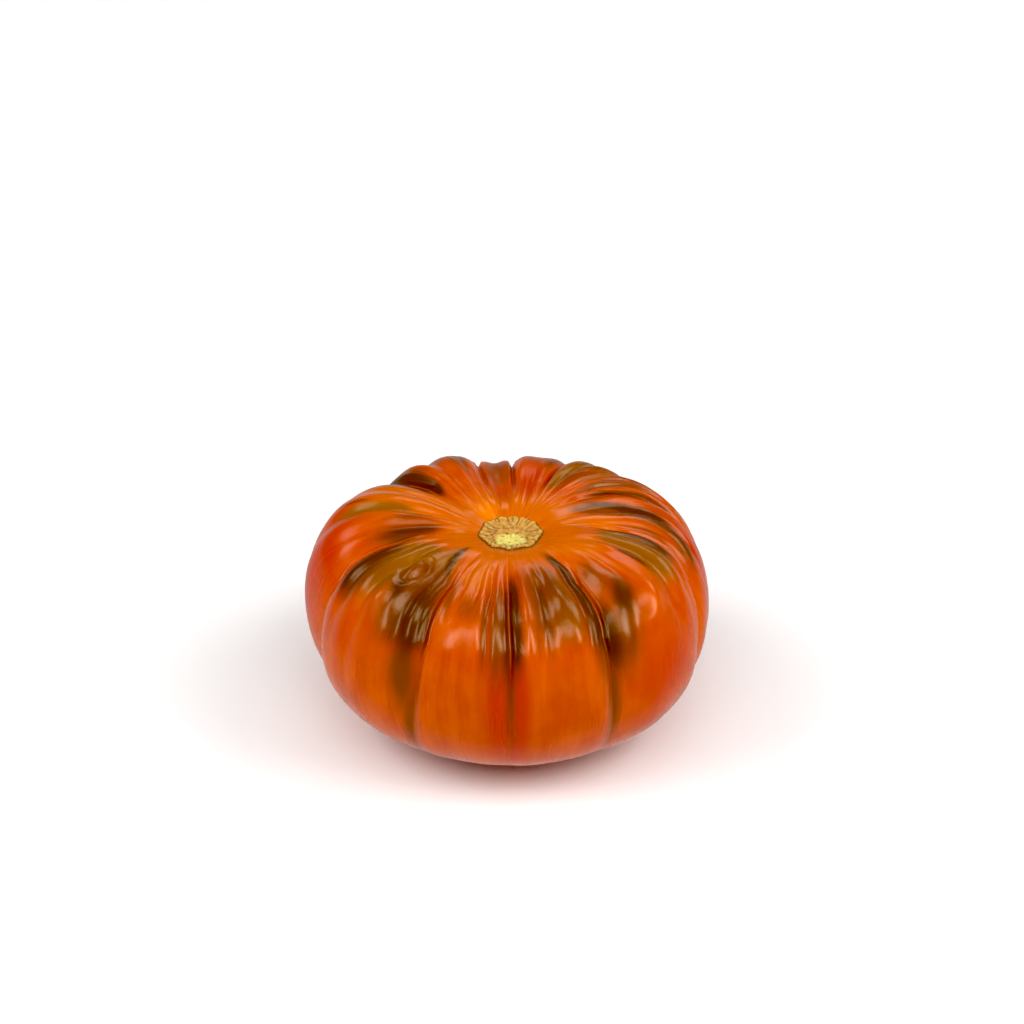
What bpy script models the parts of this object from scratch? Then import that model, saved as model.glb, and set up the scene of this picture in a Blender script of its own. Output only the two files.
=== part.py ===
"""A ribbed heirloom tomato as picked, its stalk gone, in one solid.

Eleven lobes run from the corky stem scar, which lies in a shallow hollow between the shoulders, out over
the crest, past the girth and in again to a small flat spot that the fruit rests on. The grooves between
the lobes are sharp at the shoulders and fade towards the foot. Metres, +Z up, the scar on top, the
origin on the surface below the middle of the fruit; azimuths count anticlockwise seen from above, and
270 degrees is the front.
"""

import math
from collections import namedtuple

import bmesh
import bpy
import numpy as np

MM = 0.001

# Half profile of the fruit along the top of its lobes, as (radius, height)
RIM = (7.2 * MM, 45.9 * MM)
CREST = (27.0 * MM, 47.8 * MM)
GIRTH = (46.3 * MM, 27.1 * MM)
FOOT = (12.0 * MM, 0.0)

# How far the curve's handles reach out of those four points
RIM_RISE = (5.0 * MM, 2.2 * MM)
CREST_IN = 7.0 * MM
CREST_OUT = 15.5 * MM
GIRTH_UP = 11.5 * MM
GIRTH_DOWN = 16.0 * MM
FOOT_OUT = 21.0 * MM

# A lobe starts at its groove, whose azimuths at the rim, the hollow, the crest, the shoulder, the girth and
# the foot are in degrees. Folds are minor creases along the lobe, each with its place across the lobe from
# 0 to 1, its depth and its half width as a share of the lobe.
STATIONS = (0.0, 0.7, 1.0, 1.5, 2.0, 3.0)
Lobe = namedtuple("Lobe", "groove depth swell folds")
LOBES = (
    Lobe((266, 268, 269, 270, 270, 270), 3.2 * MM, -0.1 * MM, ((0.37, 1.3 * MM, 0.11),)),
    Lobe(
        (308, 308, 304, 300, 300, 303), 3.4 * MM, 1.0 * MM, ((0.38, 1.3 * MM, 0.10), (0.68, 1.0 * MM, 0.09))
    ),
    Lobe((368, 363, 361, 346, 341, 343), 3.4 * MM, -0.8 * MM, ()),
    Lobe((400, 401, 397, 374, 361, 362), 3.0 * MM, 0.0 * MM, ()),
    Lobe((418, 418, 418, 407, 402, 402), 2.6 * MM, -0.2 * MM, ()),
    Lobe((424, 428, 429, 429, 429, 429), 3.2 * MM, -1.0 * MM, ()),
    Lobe((444, 448, 449, 450, 450, 450), 4.2 * MM, -2.6 * MM, ()),
    Lobe((468, 465, 464, 461, 460, 459), 3.4 * MM, 0.6 * MM, ((0.55, 1.1 * MM, 0.14),)),
    Lobe((502, 495, 493, 497, 503, 505), 3.6 * MM, 1.6 * MM, ((0.56, 1.3 * MM, 0.09),)),
    Lobe(
        (549, 549, 552, 558, 557, 556), 3.4 * MM, 0.9 * MM, ((0.42, 1.3 * MM, 0.09), (0.70, 1.3 * MM, 0.09))
    ),
    Lobe((598, 599, 602, 604, 602, 596), 3.0 * MM, -0.3 * MM, ((0.68, 1.3 * MM, 0.11),)),
)
ARCH = 1.5
SHARP_AT_SHOULDER = 0.02
SHARP_AT_FOOT = 0.32

# Where along the way the relief comes in and fades out
GROOVE_STARTS = (0.0, 1.15)
GROOVE_FADES = (1.55, 2.65)
GROOVE_SOFTENS = (1.6, 2.6)
FOLD_STARTS = (0.0, 0.9)
FOLD_FADES = (1.4, 2.4)
SWELL_STARTS = (0.0, 1.0)
SWELL_FADES = (1.9, 2.95)

# Corky stem scar: a raised lip, a dished middle and radial ridges, its corners at the grooves
CORNER = 0.05
CORNER_FADES = (0.0, 0.3)
LIP_RADIUS = 6.5 * MM
LIP_RISE = 0.45 * MM
LIP_WIDTH = 0.9 * MM
DISH_DEPTH = 0.6 * MM
RIDGES = 22
RIDGE_RISE = 0.12 * MM
SCAR_RINGS = (0.93, 0.84, 0.68, 0.48)

# Underside: the flat spot, with the blossom end's small dimple in its middle
DIMPLE_RADIUS = 5.0 * MM
DIMPLE_DEPTH = 1.6 * MM
DIMPLE_RINGS = (1.0, 0.78, 0.5)

# Mesh
RINGS = (9, 10, 13)
COLUMN_WIDTH = 3.2
FEWEST_COLUMNS = 6
CROWDING = 0.55
THIN_OUT = 3

# Skin
SKIN_COLOUR = (0.62, 0.09, 0.015, 1.0)
SKIN_ROUGHNESS = 0.28


def clear_scene():
    for obj in list(bpy.data.objects):
        bpy.data.objects.remove(obj)


def smooth(x):
    """0 below 0, 1 above 1, and an even S between."""
    x = np.clip(x, 0.0, 1.0)
    return x * x * (3.0 - 2.0 * x)


def fade(way, span):
    return smooth((way - span[0]) / (span[1] - span[0]))


def curve(points, t):
    """The point and the direction of a cubic Bezier curve at t."""
    a, b, c, d = (np.array(p) for p in points)
    s = 1.0 - t
    place = a * s**3 + 3 * b * t * s * s + 3 * c * t * t * s + d * t**3
    heading = (b - a) * s * s + 2 * (c - b) * t * s + (d - c) * t * t
    return place, heading / np.linalg.norm(heading)


def profile(way):
    """The lobes' top line: way 0 is the scar's rim, 1 the crest, 2 the girth and 3 the foot."""
    spans = (
        (RIM, (RIM[0] + RIM_RISE[0], RIM[1] + RIM_RISE[1]), (CREST[0] - CREST_IN, CREST[1]), CREST),
        (CREST, (CREST[0] + CREST_OUT, CREST[1]), (GIRTH[0], GIRTH[1] + GIRTH_UP), GIRTH),
        (GIRTH, (GIRTH[0], GIRTH[1] - GIRTH_DOWN), (FOOT[0] + FOOT_OUT, FOOT[1]), FOOT),
    )
    span = min(int(way), len(spans) - 1)
    place, heading = curve(spans[span], way - span)
    return place, np.array((-heading[1], heading[0]))


def groove_azimuth(index, way):
    """Where a groove runs at this way, in degrees; the index may run past the last lobe."""
    turns, lobe = divmod(index, len(LOBES))
    return np.interp(way, STATIONS, LOBES[lobe].groove) + 360.0 * turns


def groove_depth(index, u):
    depths = LOBES[index].depth, LOBES[(index + 1) % len(LOBES)].depth
    return depths[0] + (depths[1] - depths[0]) * smooth(u)


def arch(u, way):
    """The lobe's cross section: 1 in its grooves and 0 along its top, its grooves softer towards the foot."""
    soft = SHARP_AT_SHOULDER + (SHARP_AT_FOOT - SHARP_AT_SHOULDER) * fade(way, GROOVE_SOFTENS)
    bow = math.sqrt(math.sin(math.pi * u) ** 2 + soft**2) - soft
    full = math.sqrt(1.0 + soft**2) - soft
    return (1.0 - bow / full) ** ARCH


def relief(index, u, way):
    """How far the skin lies under the lobes' top line."""
    lobe = LOBES[index]
    groove = groove_depth(index, u) * arch(u, way)
    groove *= fade(way, GROOVE_STARTS) * (1.0 - fade(way, GROOVE_FADES))
    swell = lobe.swell * math.sin(math.pi * u)
    swell *= fade(way, SWELL_STARTS) * (1.0 - fade(way, SWELL_FADES))
    folds = sum(deep * math.exp(-(((u - place) / half) ** 2)) for place, deep, half in lobe.folds)
    folds *= fade(way, FOLD_STARTS) * (1.0 - fade(way, FOLD_FADES))
    return groove + folds - swell


def skin_point(index, u, way):
    """A point of the skin of one lobe: u from 0 to 1 across it, way from 0 at the rim to 3 at the foot."""
    place, outward = profile(way)
    radius, height = place - outward * relief(index, u, way)
    start, end = groove_azimuth(index, way), groove_azimuth(index + 1, way)
    azimuth = math.radians(start + (end - start) * u)
    radius *= 1.0 + CORNER * (1.0 - math.sin(math.pi * u)) * (1.0 - fade(way, CORNER_FADES))
    return radius * math.cos(azimuth), radius * math.sin(azimuth), height


def columns():
    """(lobe, place across it) of each column of the mesh, closer together beside the grooves."""
    found = []
    for index in range(len(LOBES)):
        width = groove_azimuth(index + 1, 1.5) - groove_azimuth(index, 1.5)
        count = max(FEWEST_COLUMNS, THIN_OUT * round(width / COLUMN_WIDTH / THIN_OUT))
        for k in range(count):
            t = k / count
            found.append((index, t - CROWDING * math.sin(math.tau * t) / math.tau))
    return found


def scar_point(x, y, share):
    """A point of the corky scar, at this share of the way from its middle to the rim point (x, y)."""
    radius = math.hypot(x, y) * share
    azimuth = math.atan2(y, x)
    lip = LIP_RISE * math.exp(-(((radius - LIP_RADIUS) / LIP_WIDTH) ** 2))
    dish = DISH_DEPTH * (1.0 - smooth(share))
    ridges = RIDGE_RISE * math.cos(RIDGES * azimuth) * math.sin(math.pi * share)
    return x * share, y * share, RIM[1] + lip - dish + ridges


def dimple_point(x, y, share):
    """A point of the underside, at this share of the dimple's radius on the azimuth of (x, y)."""
    azimuth = math.atan2(y, x)
    radius = DIMPLE_RADIUS * share
    height = DIMPLE_DEPTH * (1.0 - smooth(share))
    return radius * math.cos(azimuth), radius * math.sin(azimuth), height


def ways():
    """The rings of the skin between the rim and the foot."""
    stops = [0.0]
    for span, count in enumerate(RINGS):
        stops += [span + (k + 1) / count for k in range(count)]
    return stops


def band(bm, outer, inner, turned):
    """Faces between two rings, where the inner one may have fewer points."""
    step = len(outer) // len(inner)
    for k in range(len(inner)):
        ahead = [outer[(k * step + j) % len(outer)] for j in range(step + 1)]
        back = [inner[(k + 1) % len(inner)], inner[k]]
        corners = ahead + back
        bm.faces.new(corners if turned else corners[::-1])


def fan(bm, ring, middle, turned):
    for k, point in enumerate(ring):
        corners = [point, ring[(k + 1) % len(ring)], middle]
        bm.faces.new(corners if turned else corners[::-1])


def ring_of(bm, points):
    return [bm.verts.new(p) for p in points]


def tomato_mesh():
    bm = bmesh.new()
    across = columns()
    rings = [ring_of(bm, [skin_point(i, u, way) for i, u in across]) for way in ways()]
    for upper, lower in zip(rings, rings[1:]):
        band(bm, lower, upper, True)

    rim = [tuple(v.co) for v in rings[0]]
    above = rings[0]
    for share in SCAR_RINGS:
        below = ring_of(bm, [scar_point(x, y, share) for x, y, _ in rim])
        band(bm, above, below, True)
        above = below
    fan(bm, above, bm.verts.new((0.0, 0.0, RIM[1] - DISH_DEPTH)), True)

    foot = [tuple(v.co) for v in rings[-1]][::THIN_OUT]
    above = rings[-1]
    for share in DIMPLE_RINGS:
        below = ring_of(bm, [dimple_point(x, y, share) for x, y, _ in foot])
        band(bm, above, below, False)
        above = below
    fan(bm, above, bm.verts.new((0.0, 0.0, DIMPLE_DEPTH)), False)

    bmesh.ops.triangulate(bm, faces=bm.faces)
    mesh = bpy.data.meshes.new("tomato")
    bm.to_mesh(mesh)
    bm.free()
    return mesh


def centred(mesh):
    """The mesh with the middle of its box on the Z axis, its foot staying on the surface."""
    points = np.array([v.co for v in mesh.vertices])
    middle = (points.min(axis=0) + points.max(axis=0)) / 2
    for vertex in mesh.vertices:
        vertex.co.x -= middle[0]
        vertex.co.y -= middle[1]
    return mesh


def skin_material():
    material = bpy.data.materials.new("skin")
    material.use_nodes = True
    shader = material.node_tree.nodes["Principled BSDF"]
    shader.inputs["Base Color"].default_value = SKIN_COLOUR
    shader.inputs["Roughness"].default_value = SKIN_ROUGHNESS
    return material


def make_tomato():
    mesh = centred(tomato_mesh())
    mesh.materials.append(skin_material())
    mesh.shade_smooth()
    tomato = bpy.data.objects.new("tomato", mesh)
    bpy.context.scene.collection.objects.link(tomato)
    return tomato


clear_scene()
make_tomato()
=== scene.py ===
"""Dresses the ribbed tomato and sets up its studio: skin, corky stem scar, floor, light and camera.

The skin follows the same named sizes as the solid that it stands for, with a finer mesh and more
folds, and with its ripening colours painted along each lobe, together with painted shade down the grooves on
the flanks and pale suture lines that are partly a painted highlight. Metres, +Z up, the stem scar on top. A
place on the skin is given by its lobe, by u, which runs from 0 to 1 across the lobe, and by way, which runs
from 0 at the scar's rim over the crest at 1 and the girth at 2 to the foot at 3. Spans and ramps say where
something starts and ends.
"""

from __future__ import annotations

import logging
import math
from collections.abc import Sequence
from dataclasses import dataclass
from enum import Enum

import bpy
import numpy as np
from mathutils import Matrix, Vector


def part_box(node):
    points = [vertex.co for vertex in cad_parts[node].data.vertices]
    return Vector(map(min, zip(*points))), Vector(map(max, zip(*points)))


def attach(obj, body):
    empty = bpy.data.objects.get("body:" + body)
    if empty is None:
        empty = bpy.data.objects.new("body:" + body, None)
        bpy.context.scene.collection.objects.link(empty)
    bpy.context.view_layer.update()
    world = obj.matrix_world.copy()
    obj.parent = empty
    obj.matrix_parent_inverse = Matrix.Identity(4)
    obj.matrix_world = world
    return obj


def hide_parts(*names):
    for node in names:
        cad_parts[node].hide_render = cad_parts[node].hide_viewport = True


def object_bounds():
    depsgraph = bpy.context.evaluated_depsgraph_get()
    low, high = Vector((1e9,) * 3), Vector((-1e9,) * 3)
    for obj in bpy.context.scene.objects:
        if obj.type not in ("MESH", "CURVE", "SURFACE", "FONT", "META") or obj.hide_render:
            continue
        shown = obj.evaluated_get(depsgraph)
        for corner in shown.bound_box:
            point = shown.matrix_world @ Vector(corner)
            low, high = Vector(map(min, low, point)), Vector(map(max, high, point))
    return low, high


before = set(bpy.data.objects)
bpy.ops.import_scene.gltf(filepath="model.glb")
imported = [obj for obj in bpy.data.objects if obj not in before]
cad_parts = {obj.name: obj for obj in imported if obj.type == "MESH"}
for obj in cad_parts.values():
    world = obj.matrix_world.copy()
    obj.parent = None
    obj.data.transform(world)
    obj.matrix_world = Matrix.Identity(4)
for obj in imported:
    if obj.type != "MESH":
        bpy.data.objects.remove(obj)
CAD_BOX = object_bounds()

MM = 0.001
FOOT_WAY = 3.0
NOISE_MIDDLE = 0.5
LOG = logging.getLogger("tomato")

Array = np.ndarray
Pair = tuple[float, float]
Triple = tuple[float, float, float]
Colour = tuple[float, float, float, float]
Spans = tuple[Pair, Pair]
Ramp = tuple[float, ...]


class Tint(Enum):
    """The colours that ripening leaves on the skin, each painted as a value from 0 to 1. Some RED and BROWN
    strokes low beside the grooves are painted shade instead.
    """

    AMBER = "amber"
    GOLD = "gold"
    RED = "red"
    OLIVE = "olive"
    BROWN = "brown"
    UMBER = "umber"
    DUSK = "dusk"


class Slot(Enum):
    """The material slots of the record; each piece is paired with one, though nothing is done with it."""

    SKIN = "skin"
    CORK = "stem_scar"


class Use(Enum):
    """What a softbox is for: to light the fruit and the floor, or to show in the skin's shine."""

    LIGHT = "light"
    SHINE = "shine"


@dataclass(frozen=True)
class Fold:
    """A minor valley along a lobe."""

    u: float
    depth: float
    half_width: float
    start: float
    end: float


@dataclass(frozen=True)
class Lump:
    """A low rise on a lobe: its place, how far it reaches in u and in way, and its height."""

    u: float
    way: float
    reach: Pair
    rise: float


@dataclass(frozen=True)
class Stroke:
    """A streak of colour along a lobe, from one (u, way) to another, as wide as given in u."""

    tint: Tint
    start: Pair
    end: Pair
    width: float
    strength: float = 1.0
    soft: float = 0.18


@dataclass(frozen=True)
class Lobe:
    """One lobe, from its first groove to the next.

    It has the groove's azimuths in degrees, one for each of the body's stations, and the groove's depth, how
    far the lobe swells between its grooves, how steep its two walls are, and what lies on it.
    """

    groove: tuple[float, ...]
    depth: float
    swell: float
    walls: Pair = (2.2, 2.2)
    folds: tuple[Fold, ...] = ()
    lumps: tuple[Lump, ...] = ()
    strokes: tuple[Stroke, ...] = ()


def smooth(x: Array | float) -> Array:
    """Rises evenly from 0 to 1 as x does, and stays level on both sides."""
    x = np.clip(x, 0.0, 1.0)
    return x * x * (3.0 - 2.0 * x)


def fade(x: Array | float, span: Pair) -> Array:
    """Rises evenly from 0 to 1 over a span of x."""
    return smooth((x - span[0]) / (span[1] - span[0]))


def passing(x: Array, spans: Spans) -> Array:
    """Rises evenly from 0 to 1 over the first span of x, and falls back over the second."""
    return fade(x, spans[0]) * (1.0 - fade(x, spans[1]))


def about(place: float, reach: float) -> Pair:
    """The span that reaches as far on one side of a place as on the other."""
    return place - reach, place + reach


def bell(x: Array, centre: Array | float, half_width: float) -> Array:
    """A round bump of height 1, which has sunk to about a third at its half width."""
    return np.exp(-(((x - centre) / half_width) ** 2))


def angle_between(first: Array | float, second: Array | float) -> Array:
    """The smaller angle between two directions, in radians."""
    return np.abs((first - second + math.pi) % math.tau - math.pi)


FRONT_RIGHT = Lobe(
    groove=(266, 268, 269, 270, 270, 270), depth=2.6 * MM, swell=-0.1 * MM,
    walls=(3.0, 5.0),
    folds=(
        Fold(0.38, 1.4 * MM, 0.085, 0.80, 1.9),
        Fold(0.53, 0.40 * MM, 0.040, 0.70, 1.15),
        Fold(0.82, 0.60 * MM, 0.050, 0.75, 1.7),
    ),
    lumps=(
        Lump(0.20, 1.25, (0.050, 0.40), 0.50 * MM),
        Lump(0.61, 1.12, (0.090, 0.16), 0.60 * MM),
        Lump(0.68, 1.42, (0.100, 0.18), 0.90 * MM),
        Lump(0.43, 0.74, (0.035, 0.10), 0.30 * MM),
    ),
    strokes=(
        Stroke(Tint.BROWN, (0.48, 0.55), (0.48, 1.45), 0.34, 0.72, 0.28),
        Stroke(Tint.OLIVE, (0.60, 0.75), (0.66, 1.44), 0.18, 0.80, 0.25),
        Stroke(Tint.UMBER, (0.055, 0.80), (0.055, 1.65), 0.085, 1.00, 0.30),
        Stroke(Tint.UMBER, (0.88, 0.42), (0.93, 1.58), 0.12, 1.00, 0.25),
        Stroke(Tint.UMBER, (0.43, 0.90), (0.39, 1.45), 0.05, 0.50),
        Stroke(Tint.BROWN, (0.31, 0.90), (0.28, 1.55), 0.06, 0.50),
        Stroke(Tint.BROWN, (0.92, 1.45), (0.96, 1.95), 0.12, 0.60, 0.30),
        # The next three strokes are painted shade: darker red and brown down grooves A and B on the flank.
        Stroke(Tint.RED, (0.06, 1.60), (0.04, 2.40), 0.14, 0.90, 0.3),
        Stroke(Tint.BROWN, (0.98, 1.60), (0.99, 2.35), 0.07, 0.55, 0.35),
        Stroke(Tint.BROWN, (0.02, 1.60), (0.01, 2.30), 0.05, 0.50, 0.35),
    ),
)
RIGHT = Lobe(
    groove=(308, 308, 304, 300, 300, 303), depth=2.8 * MM, swell=1.0 * MM,
    walls=(1.5, 3.0),
    folds=(
        Fold(0.31, 0.9 * MM, 0.050, 0.75, 1.20),
        Fold(0.60, 0.9 * MM, 0.060, 0.75, 1.6),
        Fold(0.25, 0.8 * MM, 0.060, 1.25, 1.9),
        Fold(0.80, 0.5 * MM, 0.040, 0.75, 1.6),
    ),
    lumps=(
        Lump(0.14, 0.98, (0.070, 0.20), 0.50 * MM),
        Lump(0.50, 0.83, (0.055, 0.11), 0.50 * MM),
        Lump(0.41, 1.38, (0.070, 0.15), 1.10 * MM),
    ),
    strokes=(
        Stroke(Tint.AMBER, (0.32, 0.10), (0.45, 0.85), 0.32, 0.90, 0.25),
        Stroke(Tint.BROWN, (0.12, 0.80), (0.12, 1.20), 0.13, 0.65, 0.25),
        Stroke(Tint.BROWN, (0.18, 1.20), (0.10, 1.80), 0.16, 0.80, 0.30),
        Stroke(Tint.UMBER, (0.24, 1.10), (0.19, 1.38), 0.10, 0.85),
        Stroke(Tint.UMBER, (0.04, 1.20), (0.04, 1.75), 0.07, 0.85, 0.25),
        Stroke(Tint.OLIVE, (0.76, 0.68), (0.66, 1.34), 0.16, 1.00),
        Stroke(Tint.UMBER, (0.90, 0.72), (0.84, 1.28), 0.060, 0.95),
        Stroke(Tint.UMBER, (0.54, 0.95), (0.54, 1.20), 0.03, 0.80, 0.10),
        Stroke(Tint.RED, (0.45, 1.60), (0.40, 2.20), 0.35, 0.60, 0.3),
        # Painted shade: brown down groove B on the flank.
        Stroke(Tint.BROWN, (0.02, 1.65), (0.01, 2.35), 0.06, 0.60, 0.35),
    ),
)
FAR_RIGHT = Lobe(
    groove=(368, 363, 361, 346, 341, 343), depth=3.4 * MM, swell=-0.8 * MM,
    walls=(1.8, 3.0),
    folds=(
        Fold(0.46, 0.7 * MM, 0.060, 0.5, 1.6),
        Fold(0.14, 0.45 * MM, 0.050, 0.5, 1.4),
    ),
    strokes=(
        Stroke(Tint.AMBER, (0.15, 0.10), (0.12, 0.90), 0.25, 0.80),
        Stroke(Tint.BROWN, (0.68, 0.48), (0.26, 1.50), 0.18, 1.00),
        Stroke(Tint.UMBER, (0.74, 0.70), (0.34, 1.40), 0.10, 0.95),
        Stroke(Tint.UMBER, (0.92, 0.60), (0.88, 1.25), 0.05, 0.50),
        Stroke(Tint.RED, (0.60, 1.20), (0.50, 2.10), 0.30, 0.60, 0.3),
        Stroke(Tint.BROWN, (0.12, 0.95), (0.10, 1.30), 0.08, 0.60, 0.22),
    ),
)
BACK_RIGHT = Lobe(
    groove=(400, 401, 397, 374, 361, 362), depth=3.0 * MM, swell=0.0,
    walls=(1.8, 2.2),
    folds=(
        Fold(0.28, 0.7 * MM, 0.060, 0.5, 1.6),
        Fold(0.52, 0.5 * MM, 0.050, 0.5, 1.6),
        Fold(0.76, 0.6 * MM, 0.060, 0.5, 1.6),
    ),
    strokes=(
        Stroke(Tint.UMBER, (0.06, 0.80), (0.10, 1.40), 0.06, 0.70),
        Stroke(Tint.BROWN, (0.26, 0.75), (0.32, 1.35), 0.12, 0.80, 0.25),
        Stroke(Tint.UMBER, (0.42, 0.85), (0.46, 1.40), 0.06, 0.70, 0.25),
        Stroke(Tint.BROWN, (0.60, 0.90), (0.60, 1.50), 0.08, 0.60, 0.25),
        Stroke(Tint.OLIVE, (0.78, 0.95), (0.70, 1.60), 0.14, 0.70),
        Stroke(Tint.UMBER, (0.95, 0.90), (0.95, 1.60), 0.06, 0.60),
    ),
)
BACK_RIGHT_NARROW = Lobe(
    groove=(418, 418, 418, 407, 402, 402), depth=2.6 * MM, swell=-0.2 * MM,
    folds=(Fold(0.45, 0.5 * MM, 0.10, 0.5, 1.6),),
    strokes=(
        Stroke(Tint.OLIVE, (0.50, 0.65), (0.45, 1.50), 0.45, 0.95, 0.25),
        Stroke(Tint.BROWN, (0.22, 0.80), (0.15, 1.40), 0.12, 0.60),
        Stroke(Tint.UMBER, (0.92, 1.20), (0.88, 1.60), 0.10, 0.50),
    ),
)
BACK = Lobe(
    groove=(424, 428, 429, 429, 429, 429), depth=3.2 * MM, swell=-1.0 * MM,
    folds=(
        Fold(0.42, 0.5 * MM, 0.06, 0.35, 1.0),
        Fold(0.72, 0.4 * MM, 0.05, 0.35, 0.9),
    ),
    strokes=(
        Stroke(Tint.RED, (0.50, 0.40), (0.50, 1.20), 0.45, 0.60, 0.3),
        Stroke(Tint.DUSK, (0.45, 1.15), (0.45, 1.60), 0.45, 0.80),
        Stroke(Tint.BROWN, (0.20, 1.05), (0.20, 1.60), 0.16, 0.70),
        Stroke(Tint.OLIVE, (0.70, 1.30), (0.62, 1.65), 0.20, 0.50),
    ),
)
BACK_NARROW = Lobe(
    groove=(444, 448, 449, 450, 450, 450), depth=4.2 * MM, swell=-2.6 * MM,
    folds=(
        Fold(0.35, 0.4 * MM, 0.08, 0.35, 0.8),
        Fold(0.68, 0.4 * MM, 0.08, 0.35, 0.8),
    ),
    strokes=(
        Stroke(Tint.RED, (0.50, 0.30), (0.50, 0.80), 0.45, 0.50, 0.3),
        Stroke(Tint.DUSK, (0.50, 0.80), (0.50, 1.30), 0.50, 0.70),
        Stroke(Tint.BROWN, (0.50, 1.10), (0.50, 1.60), 0.30, 0.70),
    ),
)
BACK_LEFT = Lobe(
    groove=(468, 465, 464, 461, 460, 459), depth=3.4 * MM, swell=0.6 * MM,
    walls=(2.2, 2.2),
    folds=(
        Fold(0.55, 1.1 * MM, 0.10, 0.45, 1.9),
        Fold(0.25, 0.5 * MM, 0.055, 0.40, 1.2),
        Fold(0.80, 0.5 * MM, 0.055, 0.40, 1.4),
    ),
    strokes=(
        Stroke(Tint.GOLD, (0.50, 0.00), (0.50, 0.30), 0.45, 1.00, 0.25),
        Stroke(Tint.BROWN, (0.42, 1.20), (0.45, 1.60), 0.22, 0.70),
        Stroke(Tint.UMBER, (0.95, 0.82), (0.88, 1.60), 0.09, 1.00),
        Stroke(Tint.BROWN, (0.80, 1.05), (0.78, 1.40), 0.10, 0.45),
        Stroke(Tint.BROWN, (0.28, 1.00), (0.25, 1.60), 0.16, 0.75, 0.25),
    ),
)
LEFT = Lobe(
    groove=(502, 495, 493, 497, 503, 505), depth=3.6 * MM, swell=1.6 * MM,
    walls=(2.2, 1.5),
    folds=(
        Fold(0.56, 1.2 * MM, 0.07, 0.45, 1.6),
        Fold(0.30, 0.5 * MM, 0.05, 0.45, 1.5),
        Fold(0.80, 0.5 * MM, 0.05, 0.45, 1.3),
    ),
    lumps=(Lump(0.70, 0.98, (0.06, 0.10), 0.40 * MM),),
    strokes=(
        Stroke(Tint.AMBER, (0.35, 0.10), (0.30, 1.30), 0.40, 0.80),
        Stroke(Tint.UMBER, (0.86, 0.46), (0.90, 1.10), 0.14, 0.70),
        Stroke(Tint.BROWN, (0.66, 0.55), (0.74, 1.05), 0.08, 0.55, 0.22),
        Stroke(Tint.OLIVE, (0.54, 0.85), (0.53, 1.35), 0.050, 1.00),
        Stroke(Tint.UMBER, (0.46, 1.16), (0.44, 1.38), 0.020, 0.60, 0.08),
        Stroke(Tint.UMBER, (0.10, 0.88), (0.15, 1.38), 0.085, 0.95, 0.22),
        Stroke(Tint.RED, (0.75, 1.20), (0.65, 2.20), 0.30, 0.70, 0.3),
    ),
)
FRONT_LEFT = Lobe(
    groove=(549, 549, 552, 558, 557, 556), depth=3.4 * MM, swell=0.9 * MM,
    walls=(4.0, 1.4),
    folds=(
        Fold(0.46, 0.9 * MM, 0.055, 0.75, 1.20),
        Fold(0.77, 1.1 * MM, 0.055, 0.75, 1.8),
        Fold(0.26, 0.7 * MM, 0.055, 0.75, 1.7),
        Fold(0.90, 0.6 * MM, 0.030, 0.75, 1.5),
        Fold(0.46, 0.6 * MM, 0.050, 1.25, 1.9),
    ),
    lumps=(
        Lump(0.55, 1.38, (0.06, 0.12), 0.50 * MM),
        Lump(0.66, 1.32, (0.04, 0.12), 0.40 * MM),
    ),
    strokes=(
        Stroke(Tint.OLIVE, (0.48, 0.62), (0.34, 1.34), 0.32, 1.00, 0.22),
        Stroke(Tint.OLIVE, (0.72, 0.45), (0.80, 1.10), 0.18, 0.85, 0.22),
        Stroke(Tint.UMBER, (0.16, 0.95), (0.20, 1.50), 0.10, 0.85),
        Stroke(Tint.BROWN, (0.33, 1.10), (0.30, 1.45), 0.16, 0.60),
        Stroke(Tint.BROWN, (0.78, 0.85), (0.80, 1.60), 0.22, 0.95, 0.22),
        Stroke(Tint.UMBER, (0.70, 0.35), (0.87, 0.88), 0.060, 0.90),
        Stroke(Tint.UMBER, (0.58, 1.10), (0.72, 1.32), 0.09, 0.85),
        Stroke(Tint.UMBER, (0.84, 1.10), (0.88, 1.62), 0.15, 1.00, 0.25),
        Stroke(Tint.BROWN, (0.84, 1.55), (0.93, 2.05), 0.11, 0.85, 0.30),
        Stroke(Tint.RED, (0.42, 1.60), (0.45, 1.90), 0.22, 0.50, 0.25),
        # Painted shade: brown down groove K on the flank.
        Stroke(Tint.BROWN, (0.97, 1.75), (0.99, 2.50), 0.07, 0.60, 0.35),
    ),
)
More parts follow.
